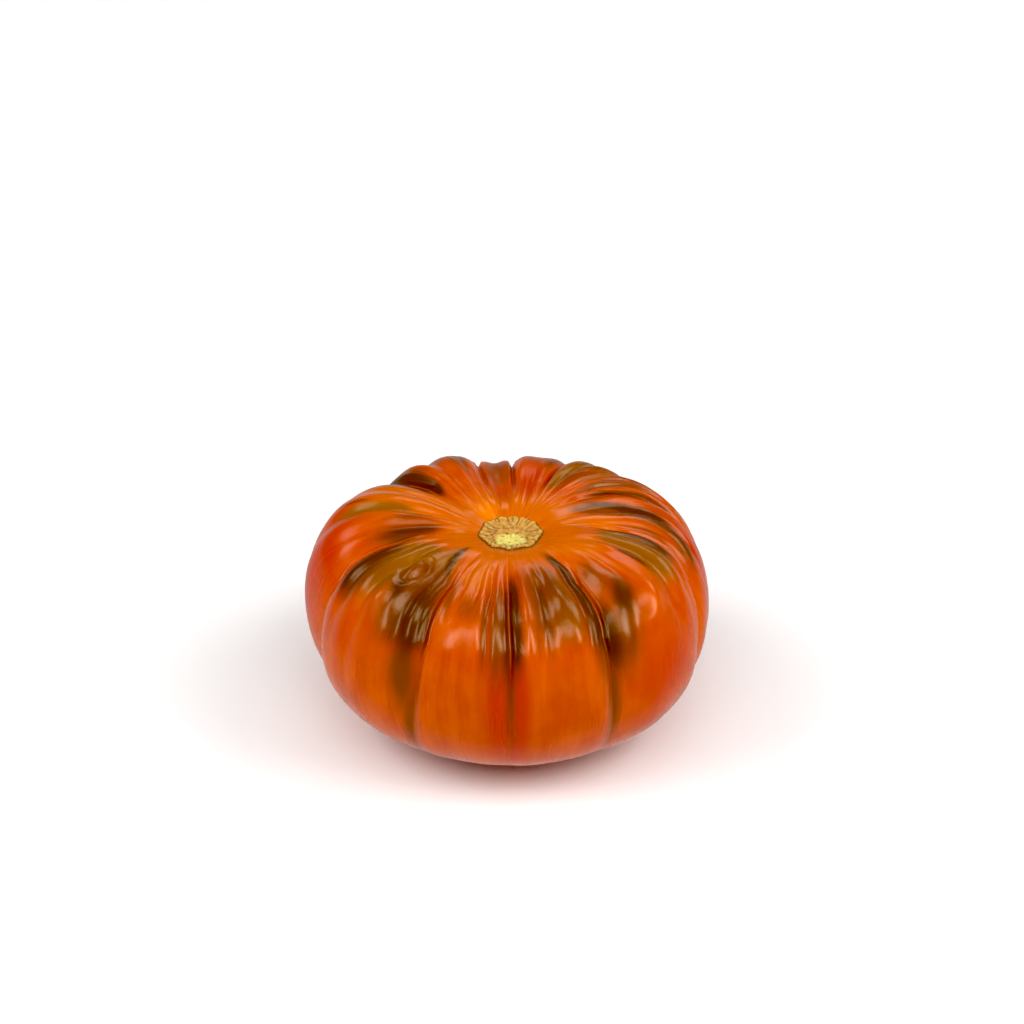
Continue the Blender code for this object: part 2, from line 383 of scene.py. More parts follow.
FRONT = Lobe(
    groove=(598, 599, 602, 604, 602, 596), depth=2.4 * MM, swell=-0.3 * MM,
    walls=(6.0, 3.0),
    folds=(
        Fold(0.70, 1.3 * MM, 0.060, 0.75, 1.9),
        Fold(0.48, 0.8 * MM, 0.040, 0.75, 1.05),
        Fold(0.22, 0.7 * MM, 0.045, 0.75, 1.10),
    ),
    lumps=(Lump(0.31, 1.46, (0.17, 0.17), 0.50 * MM),),
    strokes=(
        Stroke(Tint.AMBER, (0.40, 0.10), (0.42, 1.00), 0.35, 0.80),
        Stroke(Tint.BROWN, (0.12, 0.95), (0.12, 1.32), 0.12, 0.55),
        Stroke(Tint.BROWN, (0.45, 1.08), (0.50, 1.28), 0.30, 0.65),
        Stroke(Tint.BROWN, (0.68, 0.95), (0.68, 1.62), 0.06, 0.65, 0.25),
        Stroke(Tint.UMBER, (0.950, 0.90), (0.950, 1.75), 0.055, 0.70, 0.30),
        Stroke(Tint.BROWN, (0.85, 0.95), (0.86, 1.75), 0.12, 0.75, 0.30),
        # The last three strokes are painted shade: darker red and brown down grooves A and K on the flank.
        Stroke(Tint.RED, (0.86, 1.60), (0.92, 2.30), 0.14, 0.90, 0.3),
        Stroke(Tint.BROWN, (0.98, 1.60), (0.99, 2.30), 0.05, 0.50, 0.35),
        Stroke(Tint.BROWN, (0.01, 1.60), (0.01, 2.40), 0.06, 0.50, 0.35),
    ),
)
LOBES = (
    FRONT_RIGHT, RIGHT, FAR_RIGHT, BACK_RIGHT, BACK_RIGHT_NARROW, BACK,
    BACK_NARROW, BACK_LEFT, LEFT, FRONT_LEFT, FRONT,
)


@dataclass(frozen=True)
class Profile:
    """The line along the lobes' tops: rim, crest, girth and foot as (radius, height), and their handles."""

    rim: Pair = (7.2 * MM, 45.9 * MM)
    crest: Pair = (27.0 * MM, 47.8 * MM)
    girth: Pair = (46.3 * MM, 27.1 * MM)
    foot: Pair = (12.0 * MM, 0.0)
    rim_rise: Pair = (5.0 * MM, 2.2 * MM)
    crest_in: float = 7.0 * MM
    crest_out: float = 15.5 * MM
    girth_up: float = 11.5 * MM
    girth_down: float = 16.0 * MM
    foot_out: float = 21.0 * MM

    def spans(self) -> tuple[tuple[Pair, Pair, Pair, Pair], ...]:
        """The three Bezier spans: rim to crest, crest to girth, girth to foot.

        Returns:
            Each span's four control points.
        """
        rim_handle = (self.rim[0] + self.rim_rise[0], self.rim[1] + self.rim_rise[1])
        return (
            (self.rim, rim_handle, (self.crest[0] - self.crest_in, self.crest[1]), self.crest),
            (
                self.crest,
                (self.crest[0] + self.crest_out, self.crest[1]),
                (self.girth[0], self.girth[1] + self.girth_up),
                self.girth,
            ),
            (
                self.girth,
                (self.girth[0], self.girth[1] - self.girth_down),
                (self.foot[0] + self.foot_out, self.foot[1]),
                self.foot,
            ),
        )

    def at(self, way: Array) -> tuple[Array, Array]:
        """Follows the line.

        Args:
            way: Places along it, from 0 to 3.

        Returns:
            The (radius, height) of each place, and the direction out of the fruit there.
        """
        place = np.zeros(way.shape + (2,))
        outward = np.zeros(way.shape + (2,))
        for number, points in enumerate(self.spans()):
            a, b, c, d = (np.array(p) for p in points)
            here = (way >= number) if number else np.ones(way.shape, bool)
            t = np.clip(way[here] - number, 0.0, 1.0)[:, None]
            s = 1.0 - t
            heading = (b - a) * s * s + 2 * (c - b) * t * s + (d - c) * t * t
            heading /= np.linalg.norm(heading, axis=1, keepdims=True)
            place[here] = a * s**3 + 3 * b * t * s * s + 3 * c * t * t * s + d * t**3
            outward[here] = np.stack((-heading[:, 1], heading[:, 0]), axis=1)
        return place, outward


@dataclass(frozen=True)
class Body:
    """The fruit's shape: lobes round the profile, grooves between them, folds, lumps and a slight waver."""

    profile: Profile = Profile()
    stations: tuple[float, ...] = (0.0, 0.7, 1.0, 1.5, 2.0, 3.0)
    sharp_at_shoulder: float = 0.02
    sharp_at_foot: float = 0.32
    groove_share: float = 0.82
    groove_span: Spans = ((0.2, 1.2), (1.55, 2.65))
    groove_softens: Pair = (1.6, 2.6)
    swell_span: Spans = ((0.0, 1.0), (1.9, 2.95))
    fold_fade: float = 0.35
    crease_depth: float = 0.25 * MM
    crease_width: float = 0.45 * MM
    crease_span: Spans = ((0.45, 1.1), (1.6, 2.5))
    lip_rise: float = 0.28 * MM
    lip_place: float = 0.85 * MM
    lip_width: float = 0.30 * MM
    lip_span: Spans = ((0.5, 1.0), (1.25, 1.8))
    ripple_depth: float = 0.002 * MM
    ripple_waves: tuple[int, ...] = (17, 23, 29, 37, 43)
    ripple_bend: Pair = (0.8, 2.1)
    ripple_peak: float = 2.6
    ripple_span: Spans = ((0.05, 0.45), (0.7, 1.3))
    waver_depth: float = 0.12 * MM
    waver_waves: tuple[Pair, ...] = ((5, 3.1), (9, 4.7), (14, 6.3), (19, 5.2), (23, 8.1))
    waver_peak: float = 2.2
    waver_span: Spans = ((0.2, 0.8), (2.2, 2.8))
    swirl: Pair = (0.60, 1.00)
    swirl_size: Pair = (0.065, 0.090)
    swirl_rise: float = 0.90 * MM
    moat_depth: float = 0.8
    moat_place: float = 1.5
    moat_width: float = 0.5
    corner: float = 0.05
    corner_fades: Pair = (0.0, 0.3)
    seed: int = 7

    def groove_azimuths(self, way: Array) -> Array:
        """Each groove's azimuth at each way, in degrees, and the first groove's again, a full turn on."""
        rows = [np.interp(way, self.stations, lobe.groove) for lobe in LOBES]
        return np.stack(rows + [rows[0] + 360.0])

    def cross_section(self, walls: Array, u: Array, way: Array) -> Array:
        """How deep a lobe lies across its width: 1 in its grooves and 0 along its top.

        Args:
            walls: How steep the lobe's wall is at each place across it.
            u: Places across the lobe.
            way: Places along the profile.

        Returns:
            The share of the groove's depth at each place.
        """
        soft = self.sharp_at_shoulder
        soft = soft + (self.sharp_at_foot - soft) * fade(way, self.groove_softens)
        bow = np.sqrt(np.sin(np.pi * u) ** 2 + soft**2) - soft
        full = np.sqrt(1.0 + soft**2) - soft
        return (1.0 - bow / full) ** walls

    def ripples(self, azimuth: Array, way: Array) -> Array:
        """Very fine radial ripples near the scar, and a slight waver all over.

        Args:
            azimuth: Angles round the fruit, in radians.
            way: Places along the profile.

        Returns:
            How far the skin stands out, in metres.
        """
        rng = np.random.default_rng(self.seed)
        bend, rate = self.ripple_bend
        fine = np.zeros(np.broadcast(azimuth, way).shape)
        for waves in self.ripple_waves:
            phase, drift = rng.uniform(0.0, math.tau, 2)
            fine += np.sin(waves * azimuth + phase + bend * np.sin(rate * way + drift))
        slow = np.zeros(fine.shape)
        for waves, along in self.waver_waves:
            phase, drift = rng.uniform(0.0, math.tau, 2)
            slow += np.sin(waves * azimuth + phase) * np.sin(along * way + drift)
        fine *= self.ripple_depth / self.ripple_peak * passing(way, self.ripple_span)
        slow *= self.waver_depth / self.waver_peak * passing(way, self.waver_span)
        return fine + slow

    def swirl_lump(self, u: Array, way: Array) -> Array:
        """The small raised swirl on the front left lobe, with a moat round it.

        Args:
            u: Places across the lobe.
            way: Places along the profile.

        Returns:
            How far the skin stands out, in metres.
        """
        across = (u - self.swirl[0]) / self.swirl_size[0]
        along = (way - self.swirl[1]) / self.swirl_size[1]
        away = np.hypot(across, along)
        moat = self.moat_depth * bell(away, self.moat_place, self.moat_width)
        return self.swirl_rise * (bell(away, 0.0, 1.0) - moat)

    def grooves(self, lobes: Array, u: Array, along: Array) -> Array:
        """How far the skin sinks into the grooves, and swells between them.

        Args:
            lobes: The lobe of each column of the mesh.
            u: The place across its lobe of each column.
            along: The place along the profile of each ring, as a column of numbers.

        Returns:
            The depth at each point, in metres.
        """
        depths = np.array([lobe.depth for lobe in LOBES])
        swells = np.array([lobe.swell for lobe in LOBES])
        here, after = depths[lobes], depths[(lobes + 1) % len(LOBES)]
        walls = np.array([lobe.walls for lobe in LOBES])[lobes, (u > 0.5).astype(int)][None, :]
        sink = self.groove_share * (here + (after - here) * smooth(u))[None, :]
        sink = sink * self.cross_section(walls, u[None, :], along) * passing(along, self.groove_span)
        swell = swells[lobes][None, :] * np.sin(np.pi * u[None, :])
        return sink - swell * passing(along, self.swell_span)

    def relief(self, lobes: Array, across: Array, along: Array) -> Array:
        """How far the skin sinks into the lobes' folds, less how far it rises on their lumps.

        Args:
            lobes: The lobe of each column of the mesh.
            across: The place across its lobe of each column, as a row of numbers.
            along: The place along the profile of each ring, as a column of numbers.

        Returns:
            The depth at each point, in metres.
        """
        sink = np.zeros(np.broadcast(across, along).shape)
        for number, lobe in enumerate(LOBES):
            mine = (lobes == number)[None, :]
            for fold in lobe.folds:
                spans = (about(fold.start, self.fold_fade), about(fold.end, self.fold_fade))
                sink += mine * fold.depth * bell(across, fold.u, fold.half_width) * passing(along, spans)
            for lump in lobe.lumps:
                rise = lump.rise * bell(across, lump.u, lump.reach[0]) * bell(along, lump.way, lump.reach[1])
                sink -= mine * rise
        return sink

    def points(self, lobes: Array, u: Array, way: Array) -> tuple[Array, Array, Array]:
        """Places the skin.

        Args:
            lobes: The lobe of each column of the mesh.
            u: The place across its lobe of each column.
            way: The place along the profile of each ring.

        Returns:
            The points, as rings by columns by 3; the azimuths, in radians; and the distance of each point
            from the nearest groove, in metres.
        """
        place, outward = self.profile.at(way)
        edges = self.groove_azimuths(way).T
        start, end = edges[:, lobes], edges[:, lobes + 1]
        across, along = u[None, :], way[:, None]
        azimuth = np.radians(start + (end - start) * across)
        width = np.radians(end - start) * np.maximum(place[:, :1], self.profile.rim[0])
        near = np.minimum(across, 1.0 - across) * width

        sink = self.grooves(lobes, u, along) + self.relief(lobes, across, along)
        crease = self.crease_depth * np.exp(-near / self.crease_width)
        lip = self.lip_rise * bell(near, self.lip_place, self.lip_width)
        sink = sink + crease * passing(along, self.crease_span) - lip * passing(along, self.lip_span)
        sink = sink - self.ripples(azimuth, along)
        sink = sink - (lobes == LOBES.index(FRONT_LEFT))[None, :] * self.swirl_lump(across, along)

        radius = place[:, :1] - outward[:, :1] * sink
        height = place[:, 1:] - outward[:, 1:] * sink
        corner = self.corner * 0.5 * (1.0 + np.cos(math.tau * across))
        radius = radius * (1.0 + corner * (1.0 - fade(along, self.corner_fades)))
        points = np.stack((radius * np.cos(azimuth), radius * np.sin(azimuth), height), axis=2)
        return points, azimuth, near


def make_object(
    name: str, points: Array, faces: Sequence[Sequence[int]], attributes: dict[str, Array]
) -> bpy.types.Object:
    """Makes a smooth mesh object with values at its points.

    Args:
        name: The object's name.
        points: Its points, one row each.
        faces: Its faces, as point numbers.
        attributes: Values at the points, by name: one number or three for each.

    Returns:
        The object, in the scene.
    """
    mesh = bpy.data.meshes.new(name)
    mesh.from_pydata(points.tolist(), [], faces)
    for label, values in attributes.items():
        kind, key = ("FLOAT", "value") if values.ndim == 1 else ("FLOAT_VECTOR", "vector")
        mesh.attributes.new(label, kind, "POINT").data.foreach_set(key, values.astype(np.float32).ravel())
    mesh.shade_smooth()
    mesh.validate()
    made = bpy.data.objects.new(name, mesh)
    bpy.context.scene.collection.objects.link(made)
    return made


def ring_faces(rings: int, columns: int, first: int = 0) -> list[tuple[int, int, int, int]]:
    """Joins closed rings of points, each below the one before and counted anticlockwise from above.

    Args:
        rings: How many rings there are.
        columns: How many points each has.
        first: The number of the first point.

    Returns:
        The faces, looking outwards.
    """
    faces = []
    for ring in range(rings - 1):
        top, low = first + ring * columns, first + (ring + 1) * columns
        for column in range(columns):
            after = (column + 1) % columns
            faces.append((top + column, low + column, low + after, top + after))
    return faces


@dataclass(frozen=True)
class Noise:
    """A noise: how many of its features fit in a millimetre, its finer layers and how strong they are."""

    scale: float
    detail: float = 3.0
    roughness: float = 0.55


class Nodes:
    """A short way to write a material's nodes."""

    # A Mix node has sockets for each kind of value, and these are the ones for colours.
    MIX_FIRST = 6
    MIX_SECOND = 7
    MIX_RESULT = 2

    def __init__(self, name: str) -> None:
        """Starts a material with its Principled shader.

        Args:
            name: The material's name.
        """
        self.material = bpy.data.materials.new(name)
        self.material.use_nodes = True
        self.tree = self.material.node_tree
        self.shader = self.tree.nodes["Principled BSDF"]

    def link(self, value: object, socket: bpy.types.NodeSocket) -> None:
        """Puts a socket's output or a constant into a socket.

        Args:
            value: An output socket, a number, a vector or a colour.
            socket: The input that takes it.
        """
        if isinstance(value, bpy.types.NodeSocket):
            self.tree.links.new(value, socket)
        else:
            socket.default_value = value

    def attribute(self, name: str, vector: bool = False) -> bpy.types.NodeSocket:
        """Reads a value stored at the mesh's points.

        Args:
            name: The attribute.
            vector: Whether it holds three numbers.

        Returns:
            The node's output.
        """
        node = self.tree.nodes.new("ShaderNodeAttribute")
        node.attribute_name = name
        return node.outputs["Vector" if vector else "Fac"]

    def math(self, operation: str, *values: object, clamp: bool = False) -> bpy.types.NodeSocket:
        """Works out a number.

        Args:
            operation: The Math node's operation.
            values: Its inputs.
            clamp: Whether the result is kept between 0 and 1.

        Returns:
            The node's output.
        """
        node = self.tree.nodes.new("ShaderNodeMath")
        node.operation = operation
        node.use_clamp = clamp
        for value, socket in zip(values, node.inputs):
            self.link(value, socket)
        return node.outputs[0]

    def noise(self, vector: object, kind: Noise) -> bpy.types.NodeSocket:
        """Makes a noise from about 0 to 1.

        Args:
            vector: The coordinates that it follows.
            kind: What it is like.

        Returns:
            The node's output.
        """
        node = self.tree.nodes.new("ShaderNodeTexNoise")
        self.link(vector, node.inputs["Vector"])
        node.inputs["Scale"].default_value = kind.scale
        node.inputs["Detail"].default_value = kind.detail
        node.inputs["Roughness"].default_value = kind.roughness
        return node.outputs["Fac"]

    def span(
        self, value: object, low: float, high: float, to_low: float = 0.0, to_high: float = 1.0
    ) -> bpy.types.NodeSocket:
        """Maps a number smoothly from one range to another.

        Args:
            value: The number.
            low: Where the range starts.
            high: Where it ends.
            to_low: The result at its start.
            to_high: The result at its end.

        Returns:
            The node's output.
        """
        node = self.tree.nodes.new("ShaderNodeMapRange")
        node.interpolation_type = "SMOOTHSTEP"
        inputs = {"Value": value, "From Min": low, "From Max": high, "To Min": to_low, "To Max": to_high}
        for label, given in inputs.items():
            self.link(given, node.inputs[label])
        return node.outputs["Result"]

    def mix(self, factor: object, first: object, second: object) -> bpy.types.NodeSocket:
        """Blends two colours.

        Args:
            factor: The share of the second.
            first: The first colour.
            second: The second colour.

        Returns:
            The node's output.
        """
        node = self.tree.nodes.new("ShaderNodeMix")
        node.data_type = "RGBA"
        self.link(factor, node.inputs["Factor"])
        self.link(first, node.inputs[self.MIX_FIRST])
        self.link(second, node.inputs[self.MIX_SECOND])
        return node.outputs[self.MIX_RESULT]

    def bump(self, height: object, distance: float, before: object = None) -> bpy.types.NodeSocket:
        """Tilts the surface by a height.

        Args:
            height: The height, from 0 to 1.
            distance: What 1 stands for, in metres.
            before: The normal that it starts from, if not the surface's own.

        Returns:
            The new normal.
        """
        node = self.tree.nodes.new("ShaderNodeBump")
        node.inputs["Distance"].default_value = distance
        self.link(height, node.inputs["Height"])
        if before is not None:
            self.link(before, node.inputs["Normal"])
        return node.outputs["Normal"]

    def surface(self, inputs: dict[str, object]) -> bpy.types.Material:
        """Fills in the shader.

        Args:
            inputs: Its inputs by name, each an output socket or a constant.

        Returns:
            The finished material.
        """
        for label, given in inputs.items():
            self.link(given, self.shader.inputs[label])
        return self.material


@dataclass(frozen=True)
class SkinFinish:
    """Ripe tomato skin: waxy, orange-red, with amber, olive and brown streaks where it ripens last, darker
    red and brown painted shade down the grooves on the flanks, and pale suture lines that are partly a
    painted highlight.
    """

    ground: Colour = (0.48, 0.060, 0.002, 1.0)
    ground_light: Colour = (0.57, 0.088, 0.003, 1.0)
    tints: tuple[tuple[Tint, Colour], ...] = (
        (Tint.AMBER, (0.57, 0.116, 0.003, 1.0)),
        (Tint.GOLD, (0.74, 0.185, 0.003, 1.0)),
        # RED and BROWN are ripening colours, and are also used as painted shade down the grooves on the
        # flanks.
        (Tint.RED, (0.47, 0.034, 0.002, 1.0)),
        (Tint.DUSK, (0.30, 0.062, 0.012, 1.0)),
        (Tint.OLIVE, (0.26, 0.086, 0.004, 1.0)),
        (Tint.BROWN, (0.20, 0.047, 0.003, 1.0)),
        (Tint.UMBER, (0.100, 0.029, 0.002, 1.0)),
    )
    # Pale line at each groove's bottom: a suture, and partly a painted highlight standing in for the groove's
    # lit lip.
    suture_and_highlight: Colour = (0.62, 0.20, 0.075, 1.0)
    fleck: Colour = (0.16, 0.05, 0.01, 1.0)
    blossom: Colour = (0.30, 0.16, 0.06, 1.0)
    broad: Noise = Noise(0.16)
    streak: Noise = Noise(0.42, 4.0, 0.6)
    thread: Noise = Noise(1.3, 3.0, 0.6)
    cloud: Noise = Noise(0.11)
    pores: Noise = Noise(1.6, 3.0, 0.6)
    pore_depth: float = 0.03 * MM
    dents: Noise = Noise(0.20, 2.0, 0.5)
    dent_depth: float = 0.12 * MM
    ground_ramp: Ramp = (0.38, 0.62)
    thread_share: float = 0.15
    tear: float = 0.65
    tint_ramp: Ramp = (0.04, 0.80, 0.0, 0.98)
    stray_ramp: Ramp = (0.54, 0.74, 0.0, 0.5)
    suture_share: float = 0.75
    fleck_share: float = 0.5
    flecks_per_mm: float = 0.85
    fleck_size: Ramp = (0.10, 0.17, 1.0, 0.0)
    fleck_patches: Noise = Noise(0.30, 2.0)
    fleck_patch_ramp: Ramp = (0.54, 0.64)
    fleck_way_ramp: Ramp = (0.4, 1.8, 1.0, 0.15)
    roughness_ramp: Ramp = (0.3, 0.7, 0.24, 0.31)
    umber_roughness: float = -0.05
    specular: float = 0.46
    umber_specular: float = -0.18
    sheen_tint: Colour = (1.0, 0.76, 0.52, 1.0)
    refraction: float = 1.45
    coat: float = 0.05
    coat_roughness: float = 0.14
    glow: float = 0.08
    glow_radius: Triple = (1.0, 0.22, 0.06)
    glow_depth: float = 3.0 * MM

    def material(self) -> bpy.types.Material:
        """Builds the skin's material, a little smoother and duller where it is darkest.

        Returns:
            The material.
        """
        n = Nodes("tomato_skin")
        grain = n.attribute("grain", vector=True)
        solid = n.attribute("solid", vector=True)
        umber = n.attribute(Tint.UMBER.value)
        roughness = n.span(n.noise(grain, self.broad), *self.roughness_ramp)
        pores = n.bump(n.noise(solid, self.pores), self.pore_depth)
        return n.surface(
            {
                "Base Color": self.colour(n, grain, solid),
                "Roughness": n.math("MULTIPLY_ADD", umber, self.umber_roughness, roughness),
                "Specular IOR Level": n.math("MULTIPLY_ADD", umber, self.umber_specular, self.specular),
                "Specular Tint": self.sheen_tint,
                "IOR": self.refraction,
                "Coat Weight": self.coat,
                "Coat Roughness": self.coat_roughness,
                "Subsurface Weight": self.glow,
                "Subsurface Radius": self.glow_radius,
                "Subsurface Scale": self.glow_depth,
                "Normal": n.bump(n.noise(solid, self.dents), self.dent_depth, pores),
            }
        )

    def colour(
        self, n: Nodes, grain: bpy.types.NodeSocket, solid: bpy.types.NodeSocket
    ) -> bpy.types.NodeSocket:
        """Lays the tints on the ground colour with torn edges, some of them painted shade down the grooves,
        then the pale suture lines, partly a painted highlight on the grooves' lips, then the flecks and
        blossom end.

        Args:
            n: The material's nodes.
            grain: Coordinates that stretch along the lobes.
            solid: The coordinates in millimetres.

        Returns:
            The colour at each place.
        """
        streak = n.noise(grain, self.streak)
        patchy = n.math("MULTIPLY", n.math("ADD", streak, n.noise(solid, self.cloud)), 0.5)
        colour = n.mix(n.span(patchy, *self.ground_ramp), self.ground, self.ground_light)
        rest = n.math("MULTIPLY", streak, 1.0 - self.thread_share)
        ragged = n.math("MULTIPLY_ADD", n.noise(grain, self.thread), self.thread_share, rest)
        bare = n.math("MULTIPLY", n.math("SUBTRACT", NOISE_MIDDLE, ragged), self.tear)
        for tint, shade in self.tints:
            amount = n.attribute(tint.value)
            torn = n.math("SUBTRACT", amount, n.math("MULTIPLY", bare, n.math("SQRT", amount)))
            colour = n.mix(n.span(torn, *self.tint_ramp), colour, shade)
        stray = n.math("MULTIPLY", n.attribute("shoulder"), n.span(ragged, *self.stray_ramp))
        colour = n.mix(stray, colour, dict(self.tints)[Tint.BROWN])
        # Pale suture line, partly a painted highlight along the grooves.
        suture_and_highlight_mix = n.math("MULTIPLY", n.attribute("suture_and_highlight"), self.suture_share, clamp=True)
        colour = n.mix(suture_and_highlight_mix, colour, self.suture_and_highlight)
        colour = n.mix(n.math("MULTIPLY", self.flecks(n, solid), self.fleck_share), colour, self.fleck)
        return n.mix(n.attribute("blossom"), colour, self.blossom)

    def flecks(self, n: Nodes, solid: bpy.types.NodeSocket) -> bpy.types.NodeSocket:
        """Scatters tiny dark flecks, more on the shoulders.

        Args:
            n: The material's nodes.
            solid: The coordinates in millimetres.

        Returns:
            The share of fleck at each place.
        """
        cells = n.tree.nodes.new("ShaderNodeTexVoronoi")
        n.link(solid, cells.inputs["Vector"])
        cells.inputs["Scale"].default_value = self.flecks_per_mm
        dot = n.span(cells.outputs["Distance"], *self.fleck_size)
        chosen = n.span(n.noise(solid, self.fleck_patches), *self.fleck_patch_ramp)
        high = n.span(n.attribute("way"), *self.fleck_way_ramp)
        return n.math("MULTIPLY", n.math("MULTIPLY", dot, chosen), high)


@dataclass(frozen=True)
class CorkFinish:
    """Dry cork of the stem scar: pale tan, a greenish yellow middle, dark cracks and dots, and painted shade
    along its edge.
    """

    rim: Colour = (0.46, 0.195, 0.038, 1.0)
    pale: Colour = (0.61, 0.35, 0.076, 1.0)
    core: Colour = (0.80, 0.69, 0.175, 1.0)
    # The colour of the cracks and dots, and also of the painted shade along the scar's edge.
    dark: Colour = (0.055, 0.016, 0.003, 1.0)
    mottle: Noise = Noise(1.1, 4.0, 0.65)
    mottle_depth: float = 0.15 * MM
    fine: Noise = Noise(4.5, 3.0, 0.6)
    fine_depth: float = 0.08 * MM
    pale_ramp: Ramp = (0.35, 0.65)
    rim_share: float = 0.8
    core_ramp: Ramp = (0.2, 0.8, 0.75, 1.0)
    crack_ramp: Ramp = (0.25, 0.75, 0.65, 1.15)
    roughness_ramp: Ramp = (0.3, 0.7, 0.64, 0.82)
    specular: float = 0.25

    def material(self) -> bpy.types.Material:
        """Builds the cork's material.

        Returns:
            The material.
        """
        n = Nodes("stem_scar_cork")
        solid = n.attribute("solid", vector=True)
        mottle = n.noise(solid, self.mottle)
        fine = n.noise(solid, self.fine)
        colour = n.mix(n.span(mottle, *self.pale_ramp), self.rim, self.pale)
        colour = n.mix(n.math("MULTIPLY", n.attribute("rim"), self.rim_share), colour, self.pale)
        core = n.math("MULTIPLY", n.attribute("core"), n.span(fine, *self.core_ramp))
        colour = n.mix(core, colour, self.core)
        # Cracks and dots, together with the painted shade along the scar's edge.
        marks_and_edge_shade = n.math("MULTIPLY", n.attribute("marks_and_edge_shade"), n.span(fine, *self.crack_ramp), clamp=True)
        return n.surface(
            {
                "Base Color": n.mix(marks_and_edge_shade, colour, self.dark),
                "Roughness": n.span(mottle, *self.roughness_ramp),
                "Specular IOR Level": self.specular,
                "Normal": n.bump(fine, self.fine_depth, n.bump(mottle, self.mottle_depth)),
            }
        )


@dataclass(frozen=True)
class FloorFinish:
    """A plain pale floor, matte."""

    colour: Colour = (0.93, 0.925, 0.92, 1.0)
    roughness: float = 0.65
    specular: float = 0.2

    def material(self) -> bpy.types.Material:
        """Builds the floor's material.

        Returns:
            The material.
        """
        return Nodes("studio_floor").surface(
            {
                "Base Color": self.colour,
                "Roughness": self.roughness,
                "Specular IOR Level": self.specular,
            }
        )


